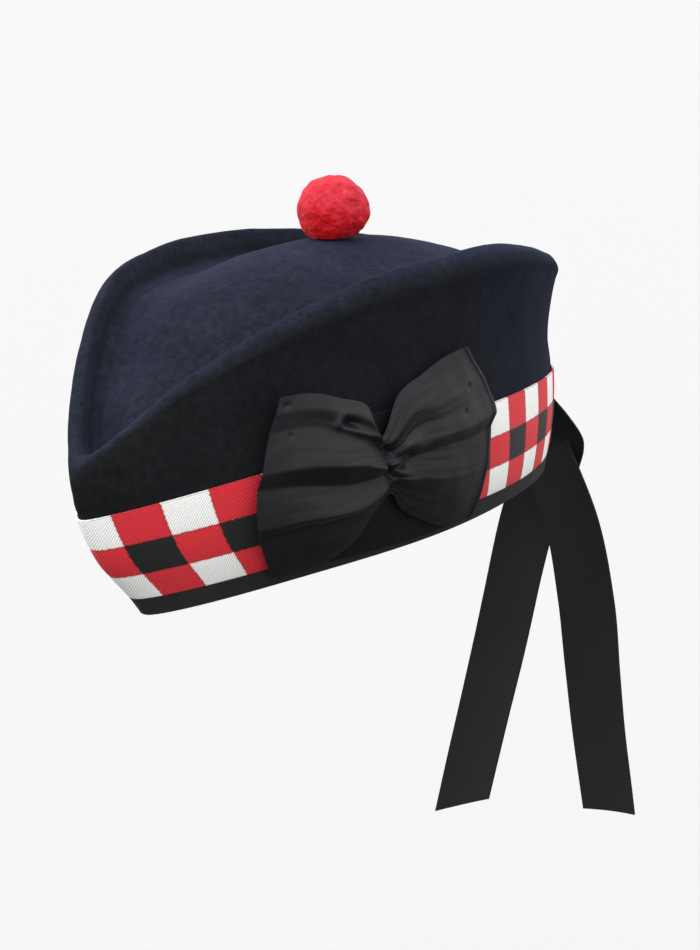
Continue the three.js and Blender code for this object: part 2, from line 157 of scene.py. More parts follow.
# Rim binding: level that its edges reach, and rows up its sides and round its fold.
BINDING_TOP = 0.96
BINDING_SIDE_ROWS = 8
BINDING_FOLD_ROWS = 11

# Rosette: places are Y along the cap and Z up, out is measured level from the felt.
BACKING = {"front": -90, "back": 3, "low": 11, "high": 68, "out": 2.6}
BACKING_CELLS = (60, 40)
BOW_OUT = 4.2
# Sections of the bow from its front end to its back end: Y at the lower edge, at a third and two thirds
# of the width and at the upper edge, Z of the two edges, and how far the cloth swells off the wall.
BowSection = namedtuple("BowSection", "y_low y_lower y_upper y_high low high swell")
BOW_SECTIONS = [
    BowSection(-89.5, -101.4, -101, -94.3, 10, 82.6, 0),
    BowSection(-78.5, -87.2, -87.6, -82, 10.5, 82.2, 1.6),
    BowSection(-67.5, -72.6, -73.4, -69.5, 12, 77.8, 2.2),
    BowSection(-57.5, -59.6, -60.2, -58, 19.5, 72.6, 1.4),
    BowSection(-46, -47.4, -49, -51.7, 35, 58.7, 0),
    BowSection(-38.5, -36.6, -37, -43, 27.5, 74, 1.2),
    BowSection(-25, -22.4, -23, -30.5, 19.5, 79.4, 1.6),
    BowSection(-8, -5.4, -6, -17, 12.8, 83.4, 1.2),
    BowSection(8.3, 10.6, 11.4, -2.4, 12, 84.4, 0.3),
]
# Fold lines from the lower to the upper edge: place across the width and height over the deepest
# pleat, at the front end, the front lobe, the gather, the back lobe and the back end.
Fold = namedtuple("Fold", "name place out")
BOW_FOLDS = [
    Fold("low_edge", (0, 0, 0, 0, 0), (0.4, 0.6, 0.5, 0.6, 0.4)),
    Fold("low_swell", (0.13, 0.14, 0.1, 0.12, 0.12), (0.9, 1.4, 1.2, 2, 0.8)),
    Fold("low_valley", (0.255, 0.285, 0.17, 0.2, 0.22), (0.8, 1.2, 1.4, 3.2, 1)),
    Fold("low_ridge", (0.295, 0.33, 0.24, 0.29, 0.32), (3.2, 7.8, 5, 4.6, 1.6)),
    Fold("mid_valley", (0.53, 0.505, 0.42, 0.5, 0.52), (0.9, 1.6, 1.2, 1.6, 0.7)),
    Fold("mid_ridge", (0.605, 0.63, 0.53, 0.58, 0.6), (2.4, 7.8, 6.6, 6.8, 3.4)),
    Fold("high_valley", (0.82, 0.82, 0.72, 0.7, 0.72), (1, 2.2, 2.6, 4.9, 1.8)),
    Fold("high_swell", (0.91, 0.92, 0.87, 0.8, 0.82), (1.5, 3.8, 4.8, 5.2, 1.8)),
    Fold("high_edge", (1, 1, 1, 1, 1), (0.5, 1.2, 1.4, 1.6, 0.5)),
]
# Small folds and dents of the bow: middle, half length and half width, slant in degrees, height.
Dent = namedtuple("Dent", "name y z half_length half_width slant height")
BOW_DENTS = [
    Dent("curl_lip", -62.5, 63.2, 9, 1.5, -23, 2.2),
    Dent("curl_turn", -72.4, 69.6, 2.6, 1.4, 70, 1.8),
    Dent("curl_hole", -67.3, 68.4, 3.6, 1.7, -20, -3.4),
    Dent("gather_pit", -41.4, 50, 3.6, 1.6, 8, -4.2),
    Dent("gather_knob", -44.4, 44.4, 3.4, 2.0, -15, 3.0),
    Dent("gather_facet", -41, 55.2, 4, 2.4, 25, 2.2),
    Dent("gather_crease", -48.2, 45.2, 4, 1.2, -52, -3.0),
    Dent("upper_crease", -49.6, 53.8, 3, 1.1, -44, -2.6),
    Dent("high_tack", -5.5, 69.5, 1.2, 1.2, 0, -0.8),
    Dent("low_tack", -10.5, 60.6, 1.2, 1.2, 0, -0.7),
    Dent("front_tack", -92, 79, 1.3, 1.2, 0, -0.8),
    Dent("front_low_tack", -91, 67.5, 1.1, 1.1, 0, -0.6),
]
# Pinch at the gather: reach along the bow, and share of the folds' height that it takes away. The rounding of
# the fold lines is a share of the bow's width.
PINCH_REACH = 0.03
PINCH_SHARE = 0.4
FOLD_ROUNDING = 0.008
# Hem at the back end: width, height and width of its step.
HEM = 2.2
HEM_STEP = 0.45
HEM_RISE = 0.6
# Wrinkles: cells along and across the bow, height, and share of it that is left at the bow's ends.
WRINKLE_CELLS = (5, 30)
WRINKLE = 0.22
WRINKLE_END_SHARE = 0.4
# How fast the bumps grow from the bow's ends.
BOW_END_RISE = 6
# Cells along and across the bow.
BOW_COLUMNS = 240
BOW_ROWS = 150

# Tails: width of the ribbon, how far its middle bows out, how fast its waves grow from the root, and cells
# along and across it.
TAIL_WIDTH = 28.0
TAIL_CURL = 1.2
TAIL_FREE_RISE = 3
TAIL_STEPS = 150
TAIL_CELLS = 24
# Slant of each tail's end, and rows down its middle with its turn in degrees about the upright.
TailRow = namedtuple("TailRow", "x y z turn")
TAIL_LEFT_SLANT = -3
TAIL_LEFT = [
    TailRow(-5.5, 139, 4, 0),
    TailRow(10.6, 134.8, -27, 4),
    TailRow(19, 131, -58, 6.5),
    TailRow(23.6, 127.4, -89, 4),
    TailRow(28.2, 123.9, -120, 1),
    TailRow(34.3, 120.4, -151.5, -2),
]
TAIL_RIGHT_SLANT = 18
TAIL_RIGHT = [
    TailRow(-4, 140.6, 4, 0),
    TailRow(-16.6, 137.4, -31, 0),
    TailRow(-24.6, 132.6, -66, -2),
    TailRow(-33.1, 128.6, -101, -3),
    TailRow(-42.1, 124.8, -136, -5),
    TailRow(-51.1, 121, -171.5, -6),
]
# Fold of ribbon over the roots of the tails, from its top corner to its pinch, with X of its two edges.
FoldRow = namedtuple("FoldRow", "z y left right")
FOLD_ROWS = [
    FoldRow(31, 133.9, 3.4, -3),
    FoldRow(22, 138.6, 8.2, -10),
    FoldRow(12, 142.6, 12.6, -18.5),
    FoldRow(5, 143.2, 12.8, -19),
    FoldRow(-4, 142.6, 9.9, -16),
]
# How far the fold's edges bend towards the cap, and cells along and across it.
FOLD_BOW = 0.8
FOLD_CELLS = (48, 32)

# Toorie: how often its round head is divided, and its height as a share of its width.
TOORIE_CUTS = 7
TOORIE_HEIGHT = 0.97

# Looks. A colour is three display values of 0 to 255. A stop is a place on a ramp with its colour. A grain is
# noise: its cells in a metre on felt and wool or in a millimetre on tape and ribbon, its finer layers and
# their strength. A relief is the height of a bump and its strength. Shares say how the grains are mixed.
Grain = namedtuple("Grain", "cells detail roughness", defaults=(3, 0.6))
Relief = namedtuple("Relief", "height strength")
BLACK = (0, 0, 0)
WHITE = (255, 255, 255)

FELT_PATCHES = Grain(55)
FELT_NAP = Grain(330, 4, 0.65)
FELT_FIBRES = Grain(1100, 3, 0.7)
FELT_SHARES = (0.3, 0.5, 0.2)
# Felt is nearly black on upright faces and bluer and lighter on upward faces. The top colour is painted sheen
# of the top light, mixed in by how far the surface faces up.
FELT_SIDE = ((0.36, (18, 19, 20)), (0.5, (24, 25, 26)), (0.64, (30, 31, 33)))
FELT_SHEEN_TOP = ((0.36, (18, 19, 26)), (0.5, (25, 27, 36)), (0.64, (33, 36, 46)))
FELT_SHEEN_MIX = ((0.15, BLACK), (0.75, WHITE))
NAP_RELIEF = Relief(0.8, 0.5)
FIBRE_RELIEF = Relief(0.4, 0.25)

# Tape: threads with the distance between them and the shift of their ends at a tile's edge, and the dark line
# along that edge.
Thread = namedtuple("Thread", "pitch shift")
WEFT = Thread(0.6, 0.35)
WARP = Thread(0.8, 0.3)
TWILL_PITCH = 1.1
TAPE_FUZZ = Grain(1.6, 4, 0.7)
TAPE_SHARES = (0.6, 0.7)
TAPE_WHITE = ((0.2, (226, 228, 223)), (0.9, (252, 252, 250)))
TAPE_RED = ((0.2, (182, 28, 40)), (0.9, (226, 50, 60)))
TAPE_BLACK = ((0.2, (14, 16, 16)), (0.9, (28, 30, 30)))
TILE_EDGE = 0.4
TILE_EDGE_COLOUR = (86, 14, 24)
TILE_EDGE_SHARE = 0.3
TWILL_RELIEF = Relief(0.25, 0.6)
FUZZ_RELIEF = Relief(0.3, 0.35)

# Ribbons: darkest and lightest colour, distance between the ribs, how rough and glossy they are, and strength
# of the ribs' relief.
Ribbon = namedtuple("Ribbon", "name dark light pitch roughness gleam rib_strength")
BOW_RIBBON = Ribbon("bow_ribbon", (14, 14, 18), (22, 22, 28), 0.9, 0.44, 0.26, 0.12)
# The backing's colours are darker than the bow's: painted shade of the bow in front of it.
BACKING_RIBBON = Ribbon("backing_ribbon", (7, 7, 8), (10, 10, 11), 0.9, 0.6, 0.18, 0.12)
TAIL_RIBBON = Ribbon("tail_ribbon", (15, 15, 15), (20, 20, 19), 1.1, 0.66, 0.19, 0.15)
BINDING_RIBBON = Ribbon("binding_ribbon", (33, 33, 32), (43, 43, 41), 1.2, 0.62, 0.22, 0.4)
RIBBON_STOPS = (0.3, 0.7)
RIBBON_PATCHES = Grain(0.08)
RIBBON_THREAD = Grain(2.4, 3, 0.7)
RIBBON_SHARES = (0.6, 0.4)
RIB_WANDER = Grain(0.25, 2, 0.5)
RIB_WANDER_REACH = 0.8
RIB_HEIGHT = 0.12
THREAD_ROUGHNESS = 0.16
THREAD_RELIEF = Relief(0.2, 0.3)

WOOL_CLUMPS = Grain(260, 4)
WOOL_HAIR = Grain(1300, 4, 0.7)
WOOL_SHARES = (0.6, 0.4)
# Wool colours for downward and upward faces: painted shade below and painted highlight above, mixed by how
# far the surface faces up.
WOOL_SHADED_LOW = ((0.34, (140, 2, 7)), (0.5, (190, 5, 13)), (0.66, (206, 12, 20)))
WOOL_LIT_HIGH = ((0.34, (156, 28, 38)), (0.5, (174, 42, 54)), (0.66, (184, 60, 74)))
WOOL_LIGHT_MIX = ((0.25, BLACK), (0.75, WHITE))
HAIR_RELIEF = Relief(0.6, 0.5)

# Camera: it looks past its foot point by these distances to the right and up in the picture.
CAMERA_AZIMUTH = 40.02
CAMERA_ELEVATION = 15.01
CAMERA_ROLL = 3.48
CAMERA_DISTANCE = 1350.0
CAMERA_LENS = 126.4
CAMERA_SENSOR = 36
CAMERA_FOOT = Vector((0, -2.5, 0))
PICTURE_RIGHT = -0.6
PICTURE_UP = 25.3

# Studio: brightness of the surroundings from straight down to straight up, soft lamps and floor.
SKY = (0.05, 0.17, 1.0, 1.85, 2.05)
Lamp = namedtuple("Lamp", "name strength spread travel")
LAMPS = [
    Lamp("key", 1.0, 40, (0.61, 0.51, -1)),
    Lamp("fill", 1.4, 60, (-0.15, 0.85, -1)),
]
FLOOR_LEVEL = -600
FLOOR_HALF = 30000
FLOOR_SHADE = 0.36


# Curves and grids

def through(values, t):
    """Smooth curve through evenly spaced values, at t from 0 to 1."""
    values = np.asarray(values, float)
    last = len(values) - 1
    padded = np.concatenate([2 * values[:1] - values[1:2], values, 2 * values[-1:] - values[-2:-1]])
    place = np.clip(t, 0, 1) * last
    i = np.minimum(np.floor(place).astype(int), last - 1)
    f = place - i
    before, start, end, after = (padded[i + k] for k in range(4))
    g = f * f * (3 - 2 * f)
    ease = (end - before) / 2 * f * (1 - f) ** 2 - (after - start) / 2 * f * f * (1 - f)
    return start * (1 - g) + end * g + ease


def mix(a, b, f):
    return a + (b - a) * f


def smooth(x):
    x = np.clip(x, 0, 1)
    return x * x * (3 - 2 * x)


def stations(count):
    """Shares of the way from crease to crease, closest together at the creases."""
    return 0.5 - 0.5 * np.cos(np.linspace(0, math.pi, count + 1))


def level_point(level, t, side="left"):
    """Points on one level of a wall; the right wall's points are given at +X too."""
    turn = PLAN_ANGLE * (2 * t - 1)
    reach = (level.back - level.front) / 2
    y = (level.front + level.back) / 2 + reach * np.sin(turn) / math.sin(PLAN_ANGLE)
    arc = (np.cos(turn) - math.cos(PLAN_ANGLE)) / (1 - math.cos(PLAN_ANGLE))

    def blunt(tip, far):
        return np.sqrt((1 + 2 * tip / np.maximum(far, TINY)) / (1 + 2 * tip / reach))

    x = level.half * arc * blunt(level.tip_front, y - level.front) * blunt(level.tip_back, level.back - y)
    depth = mix(DROP_END_SHARE, 1, np.sin(math.pi * t))
    heights = level.line[side] if isinstance(level.line, dict) else level.line
    z = through(heights, t) - level.drop * depth
    return np.stack([np.maximum(x, 0), y, z], -1)


# Distance from each level to the next, in the middle of the left wall.
middle_points = np.stack([level_point(level, np.array(0.5)) for level in WALL_LEVELS])
level_steps = np.linalg.norm(np.diff(middle_points, axis=0), axis=1)


def wall_point(t, level, side="left"):
    """Points on a wall at fractional level numbers, on a smooth curve through the levels."""
    t, level = np.broadcast_arrays(np.asarray(t, float), np.asarray(level, float))
    rows = np.stack([level_point(row, t, side) for row in WALL_LEVELS])
    last = len(WALL_LEVELS) - 1
    i = np.clip(np.floor(level).astype(int), 0, last - 1)
    f = (level - i)[..., None]

    def pick(k):
        return np.take_along_axis(rows, np.clip(k, 0, last)[None, ..., None], 0)[0]

    def slope(k):
        step_in = level_steps[np.clip(k - 1, 0, last - 1)][..., None]
        step_out = level_steps[np.clip(k, 0, last - 1)][..., None]
        rise_in = (pick(k) - pick(k - 1)) / step_in
        rise_out = (pick(k + 1) - pick(k)) / step_out
        inner = (rise_in * step_out + rise_out * step_in) / (step_in + step_out)
        return np.where((k == 0)[..., None], rise_out, np.where((k == last)[..., None], rise_in, inner))

    step = level_steps[i][..., None]
    g = f * f * (3 - 2 * f)
    ease = slope(i) * f * (1 - f) ** 2 - slope(i + 1) * f * f * (1 - f)
    return pick(i) * (1 - g) + pick(i + 1) * g + ease * step


def beside_wall(y, z, out):
    """Points at places on the left wall, moved level out from it."""
    y, z, out = np.broadcast_arrays(y, z, out)
    t, level = (np.full(y.shape, start) for start in SEARCH_START)
    longest_t, longest_level = SEARCH_STEP
    for _ in range(SEARCH_PASSES):
        here = wall_point(t, level)
        by_t = (wall_point(t + SEARCH_NUDGE, level) - here) / SEARCH_NUDGE
        by_level = (wall_point(t, level + SEARCH_NUDGE) - here) / SEARCH_NUDGE
        miss_y = y - here[..., 1]
        miss_z = z - here[..., 2]
        area = by_t[..., 1] * by_level[..., 2] - by_t[..., 2] * by_level[..., 1]
        step_t = (miss_y * by_level[..., 2] - miss_z * by_level[..., 1]) / area
        step_level = (miss_z * by_t[..., 1] - miss_y * by_t[..., 2]) / area
        t = t + np.clip(step_t, -longest_t, longest_t)
        t = np.clip(t, SEARCH_MARGIN, 1 - SEARCH_MARGIN)
        level = level + np.clip(step_level, -longest_level, longest_level)
        level = np.clip(level, 0, LAST_UPRIGHT_LEVEL)
    along = wall_point(t + DIRECTION_REACH, level) - wall_point(t - DIRECTION_REACH, level)
    normal = np.stack([along[..., 1], -along[..., 0], np.zeros(y.shape)], -1)
    normal /= np.linalg.norm(normal, axis=-1, keepdims=True)
    return wall_point(t, level) + normal * out[..., None]


def grid_normals(rows, wrap=False):
    """Outward normals of a grid of points, rows running along and stacked upwards."""
    if wrap:
        along = np.roll(rows, -1, axis=1) - np.roll(rows, 1, axis=1)
    else:
        along = np.gradient(rows, axis=1)
    normals = np.cross(along, np.gradient(rows, axis=0))
    return normals / np.maximum(np.linalg.norm(normals, axis=-1, keepdims=True), TINY)


def distance_along(points, axis):
    """Mean distance along a grid of points, from its first row or column."""
    steps = np.linalg.norm(np.diff(points, axis=axis), axis=2).mean(1 - axis)
    return np.concatenate([[0], np.cumsum(steps)])


def rough(points, scale, amount, seed):
    """Smooth noise at each point, of the given grain size and height."""
    away = Vector([seed * step for step in SEED_STEP])
    flat = points.reshape(-1, 3) / scale
    values = np.array([noise.noise(Vector(p) + away) for p in flat])
    return amount * values.reshape(points.shape[:-1])


def bumps(points, layers, seed):
    """Sum of layers of noise at each point."""
    return sum(rough(points, scale, amount, seed + k) for k, (scale, amount) in enumerate(layers))


def soften(grid, reach):
    """Grid of values blurred along its first axis; reach is a share of its height."""
    sigma = reach * (grid.shape[0] - 1)
    half = int(math.ceil(3 * sigma))
    weights = np.exp(-0.5 * (np.arange(-half, half + 1) / sigma) ** 2)
    weights /= weights.sum()
    padded = np.pad(grid, ((half, half), (0, 0)), mode="reflect", reflect_type="odd")
    return sum(w * padded[k:k + grid.shape[0]] for k, w in enumerate(weights))


# Meshes

def wall_faces(height, count, wrap=False):
    """Quads of a closed wall whose outer grid of points comes before its inner grid."""
    outer = np.arange(height * count).reshape(height, count)
    if wrap:
        outer = np.concatenate([outer, outer[:, :1]], axis=1)
    inner = outer + height * count

    def quads(a, b, c, d):
        return np.stack([a, b, c, d], -1).reshape(-1, 4)

    sets = [
        quads(outer[:-1, :-1], outer[:-1, 1:], outer[1:, 1:], outer[1:, :-1]),
        quads(inner[:-1, :-1], inner[1:, :-1], inner[1:, 1:], inner[:-1, 1:]),
        quads(outer[0, :-1], inner[0, :-1], inner[0, 1:], outer[0, 1:]),
        quads(outer[-1, :-1], outer[-1, 1:], inner[-1, 1:], inner[-1, :-1]),
    ]
    if not wrap:
        sets.append(quads(outer[:-1, 0], outer[1:, 0], inner[1:, 0], inner[:-1, 0]))
        sets.append(quads(outer[:-1, -1], inner[:-1, -1], inner[1:, -1], outer[1:, -1]))
    return np.concatenate(sets)


def make_piece(name, points, faces, material, node, cloth_map=None, sharp=SHARP_ANGLE):
    """Mesh object from points in millimetres, with the map of its cloth in millimetres."""
    mesh = bpy.data.meshes.new(name)
    mesh.from_pydata((points.reshape(-1, 3) * MM).tolist(), [], faces.tolist())
    if cloth_map is not None:
        corners = np.empty(len(mesh.loops), int)
        mesh.loops.foreach_get("vertex_index", corners)
        layer = mesh.uv_layers.new(name="Cloth")
        layer.data.foreach_set("uv", cloth_map.reshape(-1, 2)[corners].astype(np.float32).ravel())
    mesh.shade_smooth()
    mesh.set_sharp_from_angle(angle=math.radians(sharp))
    mesh.materials.append(material)
    piece = bpy.data.objects.new(name, mesh)
    bpy.context.scene.collection.objects.link(piece)
    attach(piece, "root")
    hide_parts(node)
    return piece


def make_wall(name, outer, inner, material, node, cloth_map=None, wrap=False):
    """Closed wall between two grids of points."""
    points = np.concatenate([outer.reshape(-1, 3), inner.reshape(-1, 3)])
    both = None
    if cloth_map is not None:
        both = np.concatenate([cloth_map.reshape(-1, 2), cloth_map.reshape(-1, 2)])
    faces = wall_faces(*outer.shape[:2], wrap)
    return make_piece(name, points, faces, material, node, both)


# Materials

def add_node(tree, kind, inputs=None, **settings):
    """Node of that kind. An input is a value or another node's output."""
    made = tree.nodes.new(kind)
    for key, value in settings.items():
        setattr(made, key, value)
    for key, value in (inputs or {}).items():
        if isinstance(value, bpy.types.NodeSocket):
            tree.links.new(value, made.inputs[key])
        else:
            made.inputs[key].default_value = value
    return made


def calc(tree, operation, first, second=0.0, third=0.0):
    inputs = {0: first, 1: second, 2: third}
    return add_node(tree, "ShaderNodeMath", inputs, operation=operation).outputs[0]


def colour_mix(tree, share, first, second):
    """Mix of two colours. The node's colour sockets are its seventh and eighth."""
    inputs = {0: share, 6: first, 7: second}
    return add_node(tree, "ShaderNodeMix", inputs, data_type="RGBA").outputs[2]


def ramp(tree, share, stops):
    """Colour ramp with (place, linear colour) stops."""
    made = add_node(tree, "ShaderNodeValToRGB", {"Fac": share})
    elements = made.color_ramp.elements
    for index, (place, colour) in enumerate(stops):
        element = elements[index] if index < 2 else elements.new(place)
        element.position = place
        element.color = colour
    return made.outputs["Color"]


def shades(tree, share, stops):
    """Colour ramp with (place, display values) stops."""
    return ramp(tree, share, [(place, srgb(*colour)) for place, colour in stops])


def grain(tree, where, kind):
    """Noise of that kind, from 0 to 1."""
    inputs = {"Vector": where, "Scale": kind.cells, "Detail": kind.detail, "Roughness": kind.roughness}
    return add_node(tree, "ShaderNodeTexNoise", inputs).outputs["Fac"]


def blend(tree, values, shares):
    """Sum of the values, each times its share."""
    total = 0.0
    for value, share in zip(values, shares):
        total = calc(tree, "MULTIPLY_ADD", value, share, total)
    return total


def bump(tree, height, relief, under=None):
    """Normal of a surface that is raised by a value."""
    inputs = {"Height": height, "Distance": relief.height * MM, "Strength": relief.strength}
    if under is not None:
        inputs["Normal"] = under
    return add_node(tree, "ShaderNodeBump", inputs).outputs["Normal"]


def new_material(name, **values):
    """Material with a Principled shader whose sockets are set by name."""
    material = bpy.data.materials.new(name)
    material.use_nodes = True
    tree = material.node_tree
    shader = tree.nodes["Principled BSDF"]
    for key, value in values.items():
        shader.inputs[key.replace("_", " ")].default_value = value
    return material, tree, shader


def srgb(red, green, blue):
    """Linear colour from display values of 0 to 255."""
    def linear(value):
        share = value / 255
        return share / 12.92 if share <= 0.04045 else ((share + 0.055) / 1.055) ** 2.4
    return (linear(red), linear(green), linear(blue), 1.0)


def felt_material():
    """Milled wool: nearly black on the upright sides; bluer and lighter on upward faces, which is painted
    sheen of the top light.
    """
    material, tree, shader = new_material(
        "navy_felt", Roughness=1.0, Specular_IOR_Level=0.05, Sheen_Weight=0.05,
        Sheen_Roughness=0.5, Sheen_Tint=(0.25, 0.36, 0.85, 1.0))
    place = add_node(tree, "ShaderNodeTexCoord")
    where = place.outputs["Object"]
    up = add_node(tree, "ShaderNodeSeparateXYZ", {"Vector": place.outputs["Normal"]}).outputs["Z"]
    patches = grain(tree, where, FELT_PATCHES)
    nap = grain(tree, where, FELT_NAP)
    fibres = grain(tree, where, FELT_FIBRES)
    shade = blend(tree, (patches, nap, fibres), FELT_SHARES)
    side = shades(tree, shade, FELT_SIDE)
    top = shades(tree, shade, FELT_SHEEN_TOP)
    # Painted sheen: upward faces take the bluer, lighter top colour.
    painted_light_share = shades(tree, up, FELT_SHEEN_MIX)
    tree.links.new(colour_mix(tree, painted_light_share, side, top), shader.inputs["Base Color"])
    coarse = bump(tree, nap, NAP_RELIEF)
    tree.links.new(bump(tree, fibres, FIBRE_RELIEF, coarse), shader.inputs["Normal"])
    return material


def cloth_place(tree):
    """Distances along and across the cloth, in millimetres."""
    place = add_node(tree, "ShaderNodeUVMap", uv_map="Cloth").outputs["UV"]
    split = add_node(tree, "ShaderNodeSeparateXYZ", {"Vector": place})
    return place, split.outputs["X"], split.outputs["Y"]


def thread_shift(tree, value, thread):
    """Small random shift that holds over each thread."""
    number = calc(tree, "FLOOR", calc(tree, "DIVIDE", value, thread.pitch))
    rand = add_node(tree, "ShaderNodeTexWhiteNoise", {"W": number}, noise_dimensions="1D").outputs["Value"]
    return calc(tree, "MULTIPLY", calc(tree, "SUBTRACT", rand, 0.5), thread.shift)


def tile_edge(tree, tiles, size):
    """1 close to a tile's edge, else 0."""
    middle = calc(tree, "ABSOLUTE", calc(tree, "SUBTRACT", calc(tree, "FRACT", tiles), 0.5))
    return calc(tree, "GREATER_THAN", middle, 0.5 - TILE_EDGE / size)


def tape_material():
    """Three rows of dicing: white and red columns alternate with red and black ones."""
    material, tree, shader = new_material(
        "diced_tape", Roughness=0.8, Specular_IOR_Level=0.25, Sheen_Weight=0.08, Sheen_Roughness=0.5)
    place, along, up = cloth_place(tree)
    column = calc(tree, "ADD", along, thread_shift(tree, up, WEFT))
    row = calc(tree, "ADD", up, thread_shift(tree, along, WARP))
    columns = calc(tree, "ADD", calc(tree, "DIVIDE", column, TILE_WIDTH), 0.5)
    rows = calc(tree, "DIVIDE", row, TILE_HEIGHT)
    odd = calc(tree, "MODULO", calc(tree, "FLOOR", columns), 2.0)
    middle = calc(tree, "COMPARE", calc(tree, "FLOOR", rows), 1.0)
    differs = calc(tree, "ABSOLUTE", calc(tree, "SUBTRACT", odd, middle))
    phase = calc(tree, "MULTIPLY", calc(tree, "SUBTRACT", along, up), 2 * math.pi / TWILL_PITCH)
    twill = calc(tree, "MULTIPLY_ADD", calc(tree, "SINE", phase), 0.5, 0.5)
    fuzz = grain(tree, place, TAPE_FUZZ)
    shade = blend(tree, (twill, fuzz), TAPE_SHARES)
    white = shades(tree, shade, TAPE_WHITE)
    red = shades(tree, shade, TAPE_RED)
    black = shades(tree, shade, TAPE_BLACK)
    plain = colour_mix(tree, odd, white, black)
    tiles = colour_mix(tree, differs, plain, red)
    edge = calc(tree, "MAXIMUM", tile_edge(tree, columns, TILE_WIDTH), tile_edge(tree, rows, TILE_HEIGHT))
    edge_share = calc(tree, "MULTIPLY", edge, TILE_EDGE_SHARE)
    edged = colour_mix(tree, edge_share, tiles, srgb(*TILE_EDGE_COLOUR))
    tree.links.new(edged, shader.inputs["Base Color"])
    ribs = bump(tree, twill, TWILL_RELIEF)
    tree.links.new(bump(tree, fuzz, FUZZ_RELIEF, ribs), shader.inputs["Normal"])
    return material


def ribbon_material(ribbon):
    """Black ribbon with fine ribs across its length."""
    material, tree, shader = new_material(
        ribbon.name, Specular_IOR_Level=ribbon.gleam, Sheen_Weight=0.03,
        Sheen_Roughness=0.4, Sheen_Tint=(0.8, 0.85, 1.0, 1.0))
    place, along = cloth_place(tree)[:2]
    wander = calc(tree, "MULTIPLY_ADD", grain(tree, place, RIB_WANDER), RIB_WANDER_REACH, along)
    rib = calc(tree, "SINE", calc(tree, "MULTIPLY", wander, 2 * math.pi / ribbon.pitch))
    thread = grain(tree, place, RIBBON_THREAD)
    patches = grain(tree, place, RIBBON_PATCHES)
    shade = blend(tree, (patches, thread), RIBBON_SHARES)
    colour = shades(tree, shade, list(zip(RIBBON_STOPS, (ribbon.dark, ribbon.light))))
    tree.links.new(colour, shader.inputs["Base Color"])
    roughness = calc(tree, "MULTIPLY_ADD", thread, THREAD_ROUGHNESS, ribbon.roughness)
    tree.links.new(roughness, shader.inputs["Roughness"])
    ribs = bump(tree, rib, Relief(RIB_HEIGHT, ribbon.rib_strength))
    tree.links.new(bump(tree, thread, THREAD_RELIEF, ribs), shader.inputs["Normal"])
    return material


def wool_material():
    """Red wool: deeper red on downward faces as painted shade, paler pink on upward faces as painted
    highlight.
    """
    material, tree, shader = new_material(
        "red_wool", Roughness=0.95, Specular_IOR_Level=0.05, Sheen_Weight=0.1, Sheen_Roughness=0.5,
        Sheen_Tint=(1.0, 0.55, 0.62, 1.0), Subsurface_Weight=0.4,
        Subsurface_Radius=(0.004, 0.0008, 0.0008), Subsurface_Scale=1.0)
    place = add_node(tree, "ShaderNodeTexCoord")
    where = place.outputs["Object"]
    up = add_node(tree, "ShaderNodeSeparateXYZ", {"Vector": place.outputs["Normal"]}).outputs["Z"]
    clumps = grain(tree, where, WOOL_CLUMPS)
    hair = grain(tree, where, WOOL_HAIR)
    shade = blend(tree, (clumps, hair), WOOL_SHARES)
    low = shades(tree, shade, WOOL_SHADED_LOW)
    high = shades(tree, shade, WOOL_LIT_HIGH)
    # Painted light: upward faces take the paler colour, downward faces the deeper one.
    painted_light_share = shades(tree, calc(tree, "MULTIPLY_ADD", up, 0.5, 0.5), WOOL_LIGHT_MIX)
    tree.links.new(colour_mix(tree, painted_light_share, low, high), shader.inputs["Base Color"])
    tree.links.new(bump(tree, hair, HAIR_RELIEF), shader.inputs["Normal"])
    return material


felt = felt_material()
tape = tape_material()
bow_ribbon = ribbon_material(BOW_RIBBON)
backing_ribbon = ribbon_material(BACKING_RIBBON)
tail_ribbon = ribbon_material(TAIL_RIBBON)
binding_ribbon = ribbon_material(BINDING_RIBBON)
wool = wool_material()


# Felt

def side_wall(side):
    """Felt wall of one side, from the rim over the ridge to the crown."""
    node = "side_" + side
    t = stations(WALL_STATIONS)
    level = np.linspace(0, len(WALL_LEVELS) - 1, WALL_ROWS + 1)
    outer = wall_point(t[None, :], level[:, None], side)
    outer[..., 0] -= SEAM_LAP
    normals = grid_normals(outer)
    for end in (0, -1):
        normals[:, end, 0] = 0
        normals[:, end] /= np.linalg.norm(normals[:, end], axis=-1, keepdims=True)
    seam = np.clip(outer[..., 0] / SEAM_REACH, 0, 1)
    front = outer + normals * (bumps(outer, FELT_BUMPS, SEEDS[node]) * seam)[..., None]
    back = outer - normals * FELT
    if side == "right":
        front, back = (grid[:, ::-1] * (-1, 1, 1) for grid in (front, back))
    piece = make_wall(node + "_felt", front, back, felt, node)


def crown_panel():
    """Felt top between the two walls, humped along its middle."""
    t = mix(CROWN_TRIM, 1 - CROWN_TRIM, stations(WALL_STATIONS))[None, :]
    across = np.sin(np.linspace(math.pi / 2, -math.pi / 2, CROWN_ROWS + 1))[:, None]
    left, right = (level_point(WALL_LEVELS[-1], t, side) for side in ("left", "right"))
    seam = np.where((across > 0)[..., None], left, right)
    hump = (1 - np.abs(across) ** CROWN_FULLNESS) ** CROWN_STEEPNESS
    x = across * (seam[..., 0] + CROWN_TUCK)
    z = mix(seam[..., 2], through(CROWN_LINE, t), hump)
    top = np.stack(np.broadcast_arrays(x, seam[..., 1], z), -1)
    normals = grid_normals(top)
    loose = np.minimum(1, hump * CROWN_LOOSENESS)
    outer = top + normals * (bumps(top, CROWN_BUMPS, SEEDS["crown_top"]) * loose)[..., None]
    piece = make_wall("crown_felt", outer, top - normals * FELT, felt, "crown_top")


# Tape and binding

